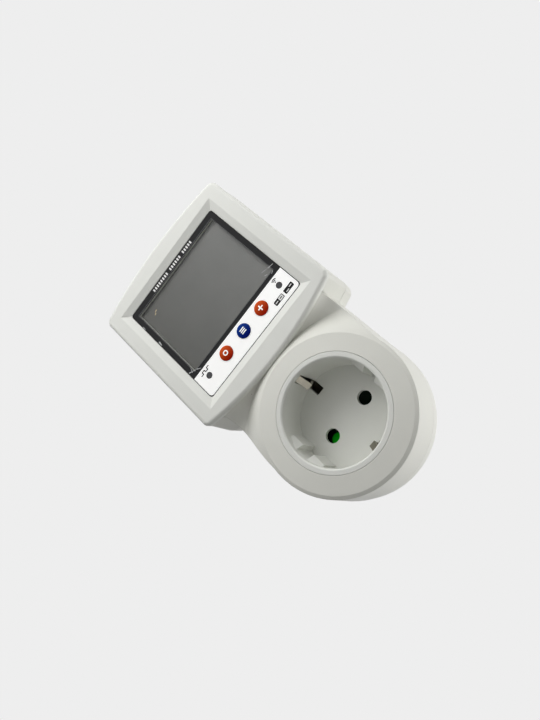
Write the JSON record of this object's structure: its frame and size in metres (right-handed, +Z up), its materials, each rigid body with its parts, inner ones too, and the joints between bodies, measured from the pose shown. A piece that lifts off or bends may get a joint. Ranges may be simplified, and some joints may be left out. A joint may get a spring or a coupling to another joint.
{
  "type": "plug-in energy monitor",
  "caption": "Plug-in energy monitor: a round earthed socket with a plug behind it and a rectangular head above with a grey display, press keys and lamp windows.",
  "frame": {"origin": "centre of the plug boss's end face, midway between the plug pins", "axes": "+Y runs along the plug pins into the wall, +Z runs up from the socket to the display head, +X runs to the right seen from the front"},
  "size_m": [0.0768, 0.067, 0.1401],
  "materials": {
    "housing": "fine satin moulding",
    "overlay": "printed film, dark round the display and white below it",
    "window": "clear window",
    "display_glass": "grey unlit liquid crystal glass",
    "diffuser": "white light guide",
    "board": "green circuit board",
    "red_keys": "smooth red",
    "blue_key": "smooth blue",
    "plungers": "plain",
    "black_plastic": "plain",
    "smoked_pipe": "smoked clear plastic",
    "lamp_bodies": "clear lamp body",
    "shield": "tinned can",
    "ribbon": "flat cable",
    "relay_case": "plain",
    "capacitor_case": "plain",
    "capacitor_sleeve": "shrunk sleeve",
    "varistor_coat": "dipped coat",
    "shunt_metal": "resistance alloy",
    "brass": "stamped",
    "shutter": "green moulding",
    "spring_steel": "wire",
    "carrier": "plain",
    "earth_metal": "plated strip",
    "pin_metal": "plated pin",
    "wire_cover": "insulation",
    "screw_steel": "plated screw"
  },
  "bodies": {
    "case": {"front_shell": "housing", "rear_shell": "housing", "head_bezel": "housing", "display_overlay": "overlay", "display_window": "window", "lcd_panel": "display_glass", "light_guide": "diffuser", "display_board": "board", "tact_switches": "black_plastic", "light_pipes": "smoked_pipe", "status_leds": "lamp_bodies", "wifi_module": "shield", "ribbon_cable": "ribbon", "main_board": "board", "power_relay": "relay_case", "supply_capacitor": "capacitor_case", "smoothing_capacitor": "capacitor_sleeve", "varistor": "varistor_coat", "metering_chip": "black_plastic", "current_shunt": "shunt_metal", "wire_terminals": "brass", "socket_insert": "housing", "contact_carrier": "carrier", "live_contact": "brass", "neutral_contact": "brass", "earth_straps": "earth_metal", "plug_pins": "pin_metal", "power_wires": "wire_cover", "body_screws": "screw_steel", "insert_screws": "screw_steel", "board_screws": "screw_steel"},
    "plus_key": {"plus_button": "red_keys", "plus_plunger": "plungers"},
    "mode_key": {"mode_button": "blue_key", "mode_plunger": "plungers"},
    "set_key": {"set_button": "red_keys", "set_plunger": "plungers"},
    "shutter": {"safety_shutter": "shutter", "shutter_spring": "spring_steel"}
  },
  "joints": [
    {"name": "plus_press", "type": "slide", "parent": "case", "child": "plus_key", "axis": [0, 1, 0], "range_m": [0, 0.0005], "stiffness_N_per_m": 800},
    {"name": "mode_press", "type": "slide", "parent": "case", "child": "mode_key", "axis": [0, 1, 0], "range_m": [0, 0.0005], "stiffness_N_per_m": 800},
    {"name": "set_press", "type": "slide", "parent": "case", "child": "set_key", "axis": [0, 1, 0], "range_m": [0, 0.0005], "stiffness_N_per_m": 800},
    {"name": "shutter_turn", "type": "hinge", "parent": "case", "child": "shutter", "pos_m": [0, -0.027, 0], "axis": [0, -1, 0], "range_deg": [0, 45], "stiffness_Nm_per_rad": 0.02}
  ]
}
